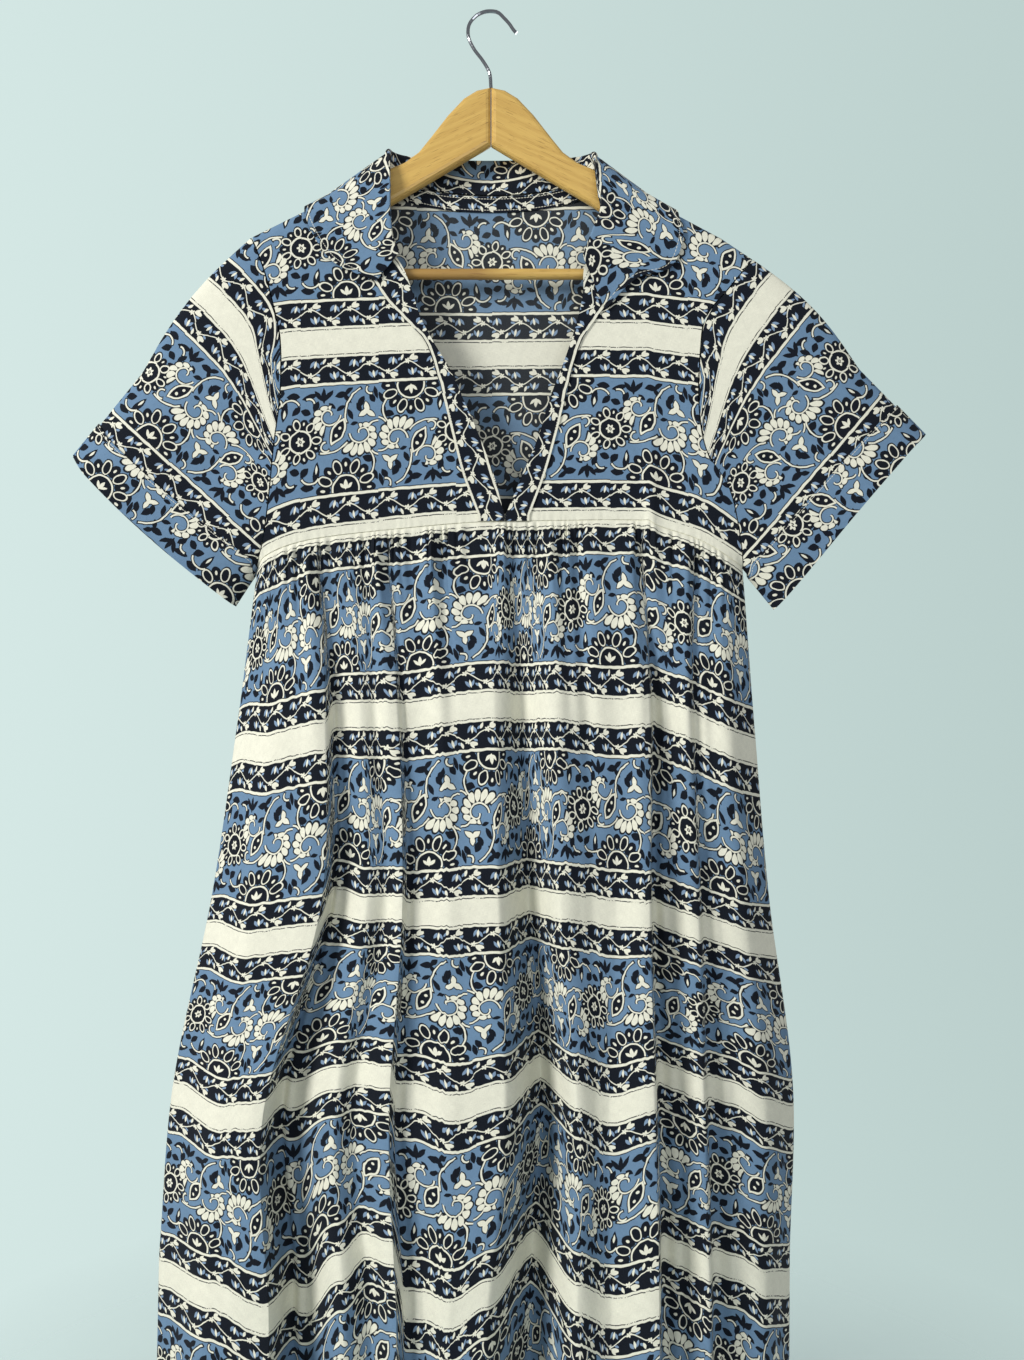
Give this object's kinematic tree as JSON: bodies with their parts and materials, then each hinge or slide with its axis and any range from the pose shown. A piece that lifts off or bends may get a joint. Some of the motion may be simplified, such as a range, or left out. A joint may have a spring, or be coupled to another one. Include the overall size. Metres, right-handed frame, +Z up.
{
  "type": "tiered midi dress on a wooden hanger",
  "caption": "Short-sleeved midi dress in block-printed cotton with an open collar, deep V neck and one gathered tier, hanging on a wooden hanger with a bent wire hook.",
  "frame": {"origin": "inside of the hook's crown, where the hanger hangs", "axes": "+Z up, the dress's front faces -Y, +X to the right as seen from the front"},
  "size_m": [0.8328, 0.1431, 1.4135],
  "materials": {
    "printed_cotton": "matte",
    "honey_wood": "satin",
    "chrome_wire": "polished"
  },
  "bodies": {
    "root": {"bodice_front_left": "printed_cotton", "bodice_front_right": "printed_cotton", "bodice_back": "printed_cotton", "collar": "printed_cotton", "placket_left": "printed_cotton", "placket_right": "printed_cotton", "neck_strip": "printed_cotton", "sleeve_left": "printed_cotton", "sleeve_right": "printed_cotton", "cuff_left": "printed_cotton", "cuff_right": "printed_cotton", "skirt_front": "printed_cotton", "skirt_back": "printed_cotton", "hanger_arm_left": "honey_wood", "hanger_arm_right": "honey_wood", "hanger_bar": "honey_wood", "hanger_hook": "chrome_wire"}
  },
  "joints": []
}
